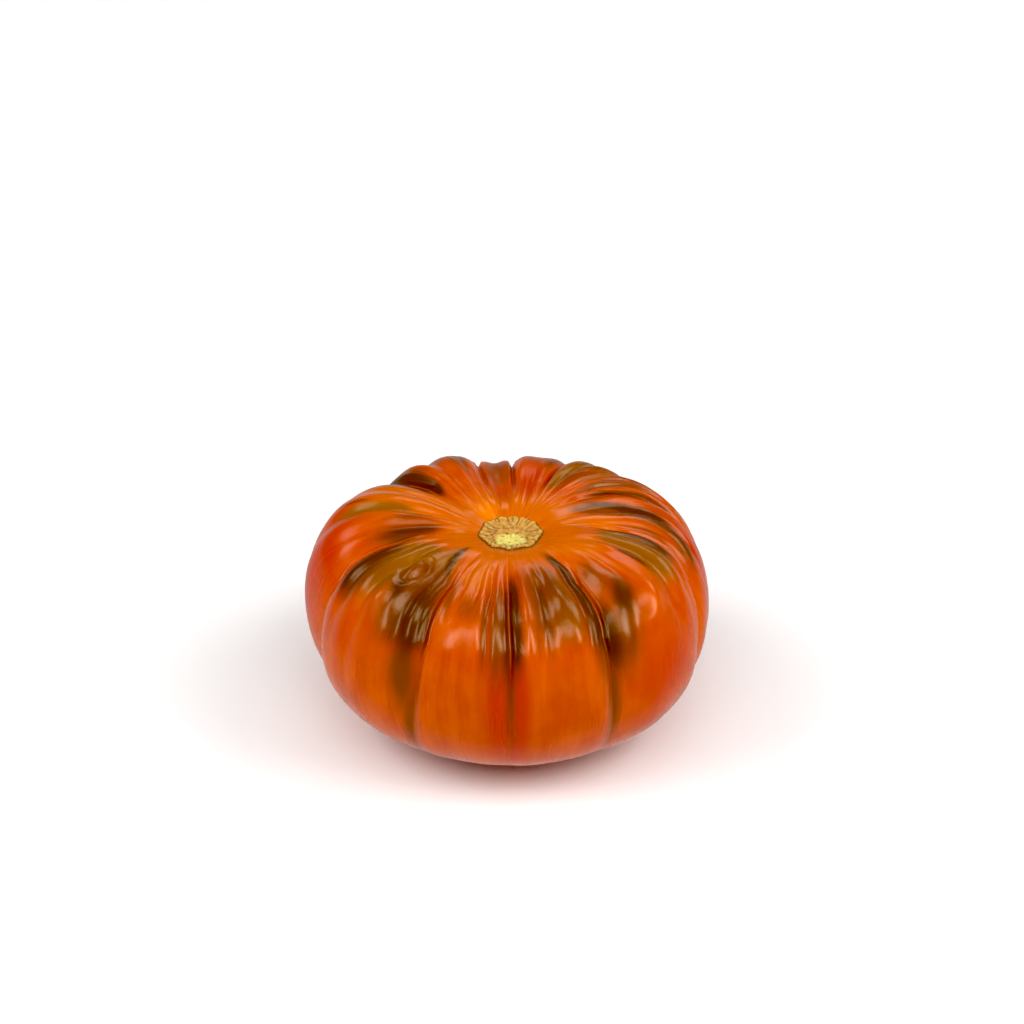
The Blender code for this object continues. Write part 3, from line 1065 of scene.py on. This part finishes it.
@dataclass
class Skin:
    """The fruit's skin, from the scar's rim down to the blossom end, closed under the scar.

    The shift is how far it moved to meet the solid that it stands for, once it is built.
    """

    body: Body = Body()
    finish: SkinFinish = SkinFinish()
    rings: tuple[int, int, int] = (64, 84, 84)
    column_width: float = 0.50
    column_way: float = 1.5
    fewest_columns: int = 30
    crowding: float = 0.65
    seat_depth: float = 0.9 * MM
    seat_share: float = 0.8
    dimple_radius: float = 5.0 * MM
    dimple_depth: float = 1.6 * MM
    dimple_rings: int = 14
    dimple_core: float = 0.08
    pleat_rise: float = 0.12 * MM
    blossom_edge: Pair = (1.2 * MM, 2.4 * MM)
    grain_radius: float = 46.0
    grain_stretch: float = 0.11
    amber_share: float = 0.85
    amber_fades: Pair = (0.1, 0.9)
    suture_width: float = 0.17 * MM
    suture_span: Spans = ((0.35, 0.9), (1.35, 1.80))
    shoulder_span: Spans = ((0.6, 1.0), (1.3, 1.9))
    shift: Triple = (0.0, 0.0, 0.0)

    def ways(self) -> Array:
        """The rings' places along the profile, from the scar's rim to the foot."""
        spans = [number + np.arange(count) / count for number, count in enumerate(self.rings)]
        return np.concatenate(spans + [np.array([FOOT_WAY])])

    def columns(self) -> tuple[Array, Array]:
        """The mesh's columns, closer together beside the grooves.

        Returns:
            The lobe of each column, and its place across the lobe.
        """
        edges = self.body.groove_azimuths(np.array([self.column_way]))[:, 0]
        lobes, places = [], []
        for number, width in enumerate(np.diff(edges)):
            count = max(self.fewest_columns, round(width / self.column_width))
            t = np.arange(count) / count
            places.append(t - self.crowding * np.sin(math.tau * t) / math.tau)
            lobes.append(np.full(count, number))
        return np.concatenate(lobes), np.concatenate(places)

    def paint(self, lobes: Array, u: Array, way: Array, near: Array) -> dict[str, Array]:
        """Lays the strokes of colour along the lobes, some of them painted shade down the grooves on the
        flanks, and marks the suture lines, which are partly a painted highlight, and the shoulders.

        Args:
            lobes: The lobe of each column.
            u: The place across its lobe of each column.
            way: The place along the profile of each ring.
            near: The distance of each point from the nearest groove, in metres.

        Returns:
            For the name of each tint and mark, its value at each point, as rings by columns.
        """
        layers = {tint.value: np.zeros(near.shape) for tint in Tint}
        along, across = way[:, None], u[None, :]
        for number, lobe in enumerate(LOBES):
            mine = (lobes == number)[None, :]
            for stroke in lobe.strokes:
                t = (along - stroke.start[1]) / (stroke.end[1] - stroke.start[1])
                centre = stroke.start[0] + (stroke.end[0] - stroke.start[0]) * np.clip(t, 0.0, 1.0)
                spans = (about(stroke.start[1], stroke.soft), about(stroke.end[1], stroke.soft))
                value = stroke.strength * bell(across, centre, stroke.width) * passing(along, spans) * mine
                layer = layers[stroke.tint.value]
                np.maximum(layer, value, out=layer)
        amber = layers[Tint.AMBER.value]
        np.maximum(amber, self.amber_share * (1.0 - fade(along, self.amber_fades)), out=amber)
        # Pale suture line along each groove, partly a painted highlight of the groove's lip.
        layers["suture_and_highlight"] = bell(near, 0.0, self.suture_width) * passing(along, self.suture_span)
        layers["shoulder"] = np.broadcast_to(passing(along, self.shoulder_span), near.shape)
        layers["way"] = np.broadcast_to(along, near.shape)
        return layers

    def grain(self, azimuth: Array, way: Array) -> Array:
        """Coordinates, in millimetres, for the noises that stretch along the lobes.

        Args:
            azimuth: The angle round the fruit of each point, in radians, as rings by columns.
            way: The place along the profile of each ring.

        Returns:
            The coordinates, one row for each point.
        """
        place, _ = self.body.profile.at(way)
        steps = np.linalg.norm(np.diff(place, axis=0), axis=1)
        length = np.concatenate(([0.0], np.cumsum(steps))) / MM
        x = self.grain_radius * np.cos(azimuth)
        y = self.grain_radius * np.sin(azimuth)
        z = np.broadcast_to(length[:, None] * self.grain_stretch, azimuth.shape)
        return np.stack((x, y, z), axis=2).reshape(-1, 3)

    def build(self) -> bpy.types.Object:
        """Makes the skin's mesh and dresses it.

        Returns:
            The skin.
        """
        way = self.ways()
        lobes, u = self.columns()
        grid, azimuth, near = self.body.points(lobes, u, way)
        seat = self.seat(grid[0])
        dimple = self.dimple(grid[-1])
        rest = np.concatenate([seat, dimple])
        points = np.concatenate([grid.reshape(-1, 3), rest])

        pad = np.zeros(len(rest))
        layers = self.paint(lobes, u, way, near)
        values = {name: np.concatenate([layer.ravel(), pad]) for name, layer in layers.items()}
        values["way"][-len(rest):] = FOOT_WAY
        away = np.hypot(dimple[:, 0], dimple[:, 1])
        values["blossom"] = np.zeros(len(points))
        values["blossom"][-len(dimple):] = 1.0 - fade(away, self.blossom_edge)
        values["grain"] = np.concatenate([self.grain(azimuth, way), rest / MM])
        points = self.fitted(points)
        values["solid"] = points / MM

        rings, columns = azimuth.shape
        faces = ring_faces(rings, columns)
        faces += self.seat_faces(columns, rings * columns)
        faces += self.dimple_faces(columns, (rings - 1) * columns, rings * columns + len(seat))
        skin = make_object("skin", points, faces, values)
        skin.data.materials.append(self.finish.material())
        return skin

    def seat(self, rim: Array) -> Array:
        """The closed shallow seat under the scar: one smaller ring and its middle.

        Args:
            rim: The points of the scar's rim.

        Returns:
            The seat's points.
        """
        narrower = np.array((self.seat_share, self.seat_share, 1.0))
        inner = rim * narrower - np.array((0.0, 0.0, self.seat_depth))
        return np.concatenate([inner, inner.mean(axis=0, keepdims=True)])

    def seat_faces(self, columns: int, first: int) -> list[tuple[int, ...]]:
        """The seat's faces, looking up.

        Args:
            columns: How many points the rim has, the first of them number 0.
            first: The number of the seat's first point.

        Returns:
            The faces.
        """
        middle = first + columns
        faces = []
        for k in range(columns):
            after = (k + 1) % columns
            faces.append((k, after, first + after, first + k))
            faces.append((first + k, first + after, middle))
        return faces

    def dimple(self, foot: Array) -> Array:
        """The underside inside the foot: flat, then the blossom end's dimple, then its middle.

        Args:
            foot: The points of the foot's ring.

        Returns:
            The rings' points and the middle.
        """
        azimuth = np.arctan2(foot[:, 1], foot[:, 0])
        rings = []
        for share in np.linspace(1.0, self.dimple_core, self.dimple_rings):
            radius = self.dimple_radius * share
            height = self.dimple_depth * (1.0 - smooth(share))
            pleats = self.pleat_rise * np.sin(len(LOBES) * azimuth) * math.sin(math.pi * share)
            ring = (radius * np.cos(azimuth), radius * np.sin(azimuth), np.abs(height + pleats))
            rings.append(np.stack(ring, axis=1))
        middle = np.array([[0.0, 0.0, self.dimple_depth]])
        return np.concatenate(rings + [middle])

    def dimple_faces(self, columns: int, foot: int, first: int) -> list[tuple[int, ...]]:
        """The underside's faces, looking down.

        Args:
            columns: How many points each ring has.
            foot: The number of the foot ring's first point.
            first: The number of the dimple's first point.

        Returns:
            The faces.
        """
        middle = first + self.dimple_rings * columns
        last = middle - columns
        faces = []
        for k in range(columns):
            after = (k + 1) % columns
            faces.append((foot + k, first + k, first + after, foot + after))
            faces.append((last + k, middle, last + after))
        return faces + ring_faces(self.dimple_rings, columns, first)

    def fitted(self, points: Array) -> Array:
        """Moves the skin to the solid that it stands for, and keeps it inside the solid's box.

        Args:
            points: The skin's points.

        Returns:
            The points, in place.
        """
        low, high = (np.array(corner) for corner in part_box("tomato"))
        own_low, own_high = points.min(axis=0), points.max(axis=0)
        scale = np.minimum(1.0, (high - low) / (own_high - own_low))
        middle = (own_low + own_high) / 2
        moved = (points - middle) * scale + (low + high) / 2
        moved[:, 2] += low[2] - moved[:, 2].min()
        self.shift = tuple((low + high) / 2 - middle)
        return moved


@dataclass(frozen=True)
class DotRing:
    """An uneven ring of dots: how many, and their distance, stray and size as shares of the scar's radius."""

    count: int
    share: float
    spread: float
    size: float


@dataclass
class StemScar:
    """The corky scar on top: a raised lip, a dished middle, radial ridges, cracks and dark dots.

    A place on it is given by its share of the radius and its angle.
    """

    radius: float = Profile.rim[0]
    height: float = Profile.rim[1]
    finish: CorkFinish = CorkFinish()
    columns: int = 330
    rings: int = 60
    smallest_ring: float = 0.03
    overlap: float = 1.015
    corner: float = 0.10
    wavers: tuple[Triple, ...] = ((0.012, 23, 0.0), (0.010, 37, 1.0))
    # A painted shade line just inside the scar's edge, where it sinks into the skin.
    edge_shade_ring: Pair = (0.890, 0.935)
    edge_shade_share: float = 0.95
    edge_span: Pair = (0.945, 0.985)
    edge_drop: float = 0.50 * MM
    lip_radius: float = 0.84
    lip_width: float = 0.07
    lip_rise: float = 0.38 * MM
    pale_width: float = 0.045
    dish: float = 0.75 * MM
    dish_share: float = 0.9
    core_forward: float = 0.36
    core_edge: Pair = (0.34, 0.56)
    core_lines: int = 30
    core_line_stray: float = 0.07
    core_line_span: Spans = ((0.16, 0.24), (0.44, 0.56))
    core_line_width: float = 0.07 * MM
    core_line_strength: Pair = (0.25, 0.6)
    ridges: int = 25
    ridge_rise: float = 0.13 * MM
    ridge_width: float = 0.9 * MM
    crack_depth: float = 0.16 * MM
    crack_stray: float = 0.38
    crack_bend: float = 0.10
    crack_start: Pair = (0.50, 0.76)
    crack_end: Pair = (0.90, 1.05)
    crack_fades: Pair = (0.05, 0.04)
    crack_width: Pair = (0.08 * MM, 0.20 * MM)
    crack_strength: Pair = (0.55, 1.0)
    dot_rings: tuple[DotRing, ...] = (
        DotRing(26, 0.55, 0.05, 0.050),
        DotRing(16, 0.72, 0.05, 0.036),
        DotRing(7, 0.30, 0.06, 0.044),
    )
    dots_forward: float = 0.162
    dot_stray: float = 0.08
    dot_growth: Pair = (0.7, 1.5)
    dot_strength: Pair = (0.5, 1.0)
    grit_rise: float = 0.03 * MM
    grit_round: Triple = (61, 9, 5)
    grit_inwards: Triple = (40, 3, 7)
    thickness: float = 0.8 * MM
    under_share: float = 0.97
    seed: int = 3

    def build(self, skin: Skin) -> bpy.types.Object:
        """Makes the scar's mesh and dresses it.

        Args:
            skin: The skin that it sits in, already placed.

        Returns:
            The scar.
        """
        rng = np.random.default_rng(self.seed)
        azimuth = np.linspace(0.0, math.tau, self.columns, endpoint=False)
        ring = np.linspace(1.0, self.smallest_ring, self.rings)[:, None]
        angle = azimuth[None, :]
        radius = self.radius * self.rim_factor(azimuth, skin)[None, :] * ring
        cracks, bow = self.cracks(rng, ring, angle)
        marks = np.maximum(cracks, self.dots(rng, ring, angle))

        height = self.lip_rise * bell(ring, self.lip_radius, self.lip_width)
        height = height - self.dish * (1.0 - smooth(ring / self.dish_share))
        height = height + self.ridge_rise * bow * np.sin(np.pi * ring) + self.grit(ring, angle)
        height = height - self.crack_depth * marks - self.edge_drop * fade(ring, self.edge_span)
        top = np.stack((radius * np.cos(angle), radius * np.sin(angle), self.height + height), axis=2)
        narrower = np.array((self.under_share, self.under_share, 1.0))
        under = top[0] * narrower - np.array((0.0, 0.0, self.thickness))
        tips = np.array([[0.0, 0.0, self.height - self.dish], [0.0, 0.0, under[:, 2].mean()]])
        points = np.concatenate([top.reshape(-1, 3), under, tips]) + np.array(skin.shift)

        layers = {
            "rim": bell(ring, self.lip_radius, self.pale_width),
            # The cracks and dots, with the painted shade line along the edge.
            "marks_and_edge_shade": np.maximum(marks, self.edge_shade_share * fade(ring, self.edge_shade_ring)),
            "core": 1.0 - fade(np.hypot(*self.from_core(ring, angle)), self.core_edge),
        }
        values = {"solid": points / MM}
        pad = np.zeros(len(under) + len(tips))
        for name, layer in layers.items():
            values[name] = np.concatenate([np.broadcast_to(layer, marks.shape).ravel(), pad])
        scar = make_object("stem_scar", points, self.faces(), values)
        scar.data.materials.append(self.finish.material())
        return scar

    def rim_factor(self, azimuth: Array, skin: Skin) -> Array:
        """How far the scar's outline stands out: it has a corner at each groove and a slight waver.

        Args:
            azimuth: Angles round the scar, in radians.
            skin: The skin that it sits in.

        Returns:
            The outline's radius, as a share of the scar's.
        """
        edges = np.radians(skin.body.groove_azimuths(np.array([0.0]))[:, 0])
        turned = edges[0] + (azimuth - edges[0]) % math.tau
        lobe = np.clip(np.searchsorted(edges, turned, side="right") - 1, 0, len(LOBES) - 1)
        u = (turned - edges[lobe]) / (edges[lobe + 1] - edges[lobe])
        waver = sum(rise * np.sin(waves * azimuth + phase) for rise, waves, phase in self.wavers)
        return self.overlap + self.corner * (1.0 - np.sin(np.pi * u)) + waver

    def from_core(self, ring: Array, angle: Array) -> tuple[Array, Array]:
        """Each place's x and y as seen from the pale middle, as shares of the scar's radius."""
        return ring * np.cos(angle), ring * np.sin(angle) + self.core_forward

    def grit(self, ring: Array, angle: Array) -> Array:
        """The cork's fine unevenness.

        Args:
            ring: Shares of the radius.
            angle: Angles round the scar.

        Returns:
            How far the cork stands up, in metres.
        """
        turns, turn_bend, turn_rate = self.grit_round
        steps, step_bend, step_rate = self.grit_inwards
        across = np.sin(turns * angle + turn_bend * np.sin(turn_rate * angle))
        inwards = np.sin(steps * ring + step_bend * np.sin(step_rate * angle))
        return self.grit_rise * across * inwards

    def cracks(self, rng: np.random.Generator, ring: Array, angle: Array) -> tuple[Array, Array]:
        """Uneven cracks that run in from the edge, and finer ones that fan out round the pale middle.

        Args:
            rng: The source of their places.
            ring: Shares of the radius.
            angle: Angles round the scar.

        Returns:
            The cracks' strength, and how far each place stands up between two cracks, from 0 to 1.
        """
        marks = np.zeros(np.broadcast(ring, angle).shape)
        bow = np.ones(marks.shape)
        stray = rng.uniform(-self.crack_stray, self.crack_stray, self.ridges)
        for start in (np.arange(self.ridges) + stray) * math.tau / self.ridges:
            bend = rng.uniform(-self.crack_bend, self.crack_bend)
            gap = angle_between(angle, start + bend * (1.0 - ring)) * self.radius * ring
            inner, outer = rng.uniform(*self.crack_start), rng.uniform(*self.crack_end)
            spans = (about(inner, self.crack_fades[0]), about(outer, self.crack_fades[1]))
            width, strength = rng.uniform(*self.crack_width), rng.uniform(*self.crack_strength)
            marks = np.maximum(marks, strength * bell(gap, 0.0, width) * passing(ring, spans))
            bow = np.minimum(bow, np.clip(gap / self.ridge_width, 0.0, 1.0))
        x, y = self.from_core(ring, angle)
        away, turn = np.hypot(x, y), np.arctan2(y, x)
        reach = passing(away, self.core_line_span)
        for start in np.arange(self.core_lines) * math.tau / self.core_lines:
            place = start + rng.uniform(-self.core_line_stray, self.core_line_stray)
            gap = angle_between(turn, place) * self.radius * away
            strength = rng.uniform(*self.core_line_strength)
            marks = np.maximum(marks, strength * bell(gap, 0.0, self.core_line_width) * reach)
        return marks, bow

    def dots(self, rng: np.random.Generator, ring: Array, angle: Array) -> Array:
        """Dark dots in uneven rings, where the stalk's vessels broke off.

        Args:
            rng: The source of their places.
            ring: Shares of the radius.
            angle: Angles round the scar.

        Returns:
            The dots' strength.
        """
        x, y = ring * np.cos(angle), ring * np.sin(angle) + self.dots_forward
        spots = np.zeros(x.shape)
        for dots in self.dot_rings:
            turn = rng.uniform(0.0, math.tau)
            for k in range(dots.count):
                place = turn + k * math.tau / dots.count + rng.uniform(-self.dot_stray, self.dot_stray)
                away = dots.share + rng.uniform(-dots.spread, dots.spread)
                width = dots.size * rng.uniform(*self.dot_growth)
                gap = np.hypot(x - away * math.cos(place), y - away * math.sin(place))
                spots = np.maximum(spots, rng.uniform(*self.dot_strength) * bell(gap, 0.0, width))
        return spots

    def faces(self) -> list[tuple[int, ...]]:
        """The scar's faces: its top looks up, its thin side out and its underside down.

        Returns:
            The faces.
        """
        faces = [tuple(reversed(face)) for face in ring_faces(self.rings, self.columns)]
        last = (self.rings - 1) * self.columns
        under = self.rings * self.columns
        tip, low = under + self.columns, under + self.columns + 1
        for k in range(self.columns):
            after = (k + 1) % self.columns
            faces.append((last + k, last + after, tip))
            faces.append((k, under + k, under + after, after))
            faces.append((under + after, under + k, low))
        return faces


@dataclass
class Tomato:
    """The whole fruit: its skin and its stem scar, which stand for the solid."""

    skin: Skin
    scar: StemScar

    def build(self) -> None:
        """Makes both pieces and ties them to the solid's body."""
        skin = self.skin.build()
        scar = self.scar.build(self.skin)
        for piece, slot in ((skin, Slot.SKIN), (scar, Slot.CORK)):
            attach(piece, "root")
            LOG.info("%s: %d faces", piece.name, len(piece.data.polygons))
        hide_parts("tomato")


@dataclass(frozen=True)
class Softbox:
    """A soft light: where it hangs as seen from the fruit, its size in metres and its power in watts."""

    name: str
    azimuth: float
    elevation: float
    size: Pair
    power: float
    use: Use = Use.LIGHT
    distance: float = 2.0

    def build(self, aim: Triple) -> None:
        """Hangs the softbox.

        Args:
            aim: The point that it faces.
        """
        data = bpy.data.lights.new(self.name, "AREA")
        data.shape = "RECTANGLE"
        data.size, data.size_y = self.size
        data.energy = self.power
        light = bpy.data.objects.new(self.name, data)
        light.visible_glossy = self.use is Use.SHINE
        light.visible_diffuse = self.use is Use.LIGHT
        light.visible_transmission = self.use is Use.LIGHT
        bpy.context.scene.collection.objects.link(light)
        a, e = math.radians(self.azimuth), math.radians(self.elevation)
        away = Vector((math.cos(a) * math.cos(e), math.sin(a) * math.cos(e), math.sin(e)))
        light.location = Vector(aim) + away * self.distance
        light.rotation_euler = away.to_track_quat("Z", "Y").to_euler()
        LOG.info("%s: %.1f W", self.name, self.power)


@dataclass
class Studio:
    """A pale floor, a pale surround that is brightest low down, and soft light from above the camera."""

    floor_size: float = 12.0
    finish: FloorFinish = FloorFinish()
    surround: Colour = (1.0, 0.995, 0.985, 1.0)
    surround_low: float = 0.62
    surround_high: float = 0.14
    surround_fade: Pair = (0.0, 0.17)
    softboxes: tuple[Softbox, ...] = (
        Softbox("left_light", 192.0, 40.0, (1.4, 1.4), 25.0),
        Softbox("right_light", 348.0, 40.0, (1.4, 1.4), 29.0),
        Softbox("top_light", 270.0, 62.0, (2.0, 2.0), 25.0),
        Softbox("left_shine", 231.0, 50.0, (0.75, 1.5), 27.0, Use.SHINE),
        Softbox("right_shine", 326.0, 50.0, (0.75, 1.5), 31.0, Use.SHINE),
        Softbox("top_shine", 270.0, 78.0, (0.6, 0.5), 5.0, Use.SHINE),
        Softbox("far_left_shine", 148.0, 52.0, (0.7, 0.7), 8.5, Use.SHINE),
        Softbox("far_right_shine", 45.0, 44.0, (0.7, 0.7), 7.5, Use.SHINE),
        Softbox("back_shine", 84.0, 38.0, (0.7, 0.35), 3.4, Use.SHINE),
    )
    aim: Triple = (0.0, 0.0, 0.03)

    def build(self) -> None:
        """Makes the floor, the surround and the lights."""
        self.floor()
        self.surroundings()
        for softbox in self.softboxes:
            softbox.build(self.aim)

    def floor(self) -> None:
        """Lays the floor at the height that the fruit rests on."""
        half, low = self.floor_size / 2, CAD_BOX[0][2]
        corners = np.array([(-half, -half, low), (half, -half, low), (half, half, low), (-half, half, low)])
        floor = make_object("floor", corners, [(0, 1, 2, 3)], {})
        floor.data.materials.append(self.finish.material())
        floor.visible_glossy = False
        LOG.info("floor: %.1f m across", self.floor_size)

    def surroundings(self) -> None:
        """Sets the even light that comes from all round, brightest near the horizon."""
        world = bpy.data.worlds.new("surround")
        world.use_nodes = True
        tree = world.node_tree
        sky = tree.nodes["Background"]
        sky.inputs["Color"].default_value = self.surround
        place = tree.nodes.new("ShaderNodeTexCoord")
        parts = tree.nodes.new("ShaderNodeSeparateXYZ")
        strength = tree.nodes.new("ShaderNodeMapRange")
        strength.interpolation_type = "SMOOTHSTEP"
        ramp = (*self.surround_fade, self.surround_low, self.surround_high)
        for label, value in zip(("From Min", "From Max", "To Min", "To Max"), ramp):
            strength.inputs[label].default_value = value
        tree.links.new(place.outputs["Generated"], parts.inputs["Vector"])
        tree.links.new(parts.outputs["Z"], strength.inputs["Value"])
        tree.links.new(strength.outputs["Result"], sky.inputs["Strength"])
        bpy.context.scene.world = world


@dataclass(frozen=True)
class PhotoCamera:
    """The camera at the photograph's viewing angle and framing."""

    elevation: float = 31.0
    distance: float = 0.68
    target: Triple = (1.3 * MM, 0.0, 51.5 * MM)
    sensor: float = 36.0
    lens: float = 106.1
    nearest: float = 0.01
    exposure: float = 0.0
    black_level: float = 0.032
    white_level: float = 1.0

    def build(self) -> None:
        """Makes the camera and the way that its picture is developed."""
        data = bpy.data.cameras.new("camera")
        data.sensor_width = self.sensor
        data.lens = self.lens
        data.clip_start = self.nearest
        camera = bpy.data.objects.new("camera", data)
        scene = bpy.context.scene
        scene.collection.objects.link(camera)
        e = math.radians(self.elevation)
        camera.location = Vector(self.target) + Vector((0.0, -math.cos(e), math.sin(e))) * self.distance
        camera.rotation_euler = (math.pi / 2 - e, 0.0, 0.0)
        scene.camera = camera
        scene.view_settings.view_transform = "Standard"
        scene.view_settings.exposure = self.exposure
        scene.view_settings.use_curve_mapping = True
        curves = scene.view_settings.curve_mapping
        curves.black_level = (self.black_level,) * 3
        curves.white_level = (self.white_level,) * 3
        curves.update()
        LOG.info("camera: %.0f mm lens, %.2f m away", self.lens, self.distance)


def main() -> None:
    """Builds the fruit, the studio and the camera, in order."""
    logging.basicConfig(level=logging.INFO, format="%(name)s %(message)s")
    Tomato(Skin(), StemScar()).build()
    Studio().build()
    PhotoCamera().build()


if __name__ == "__main__":
    main()
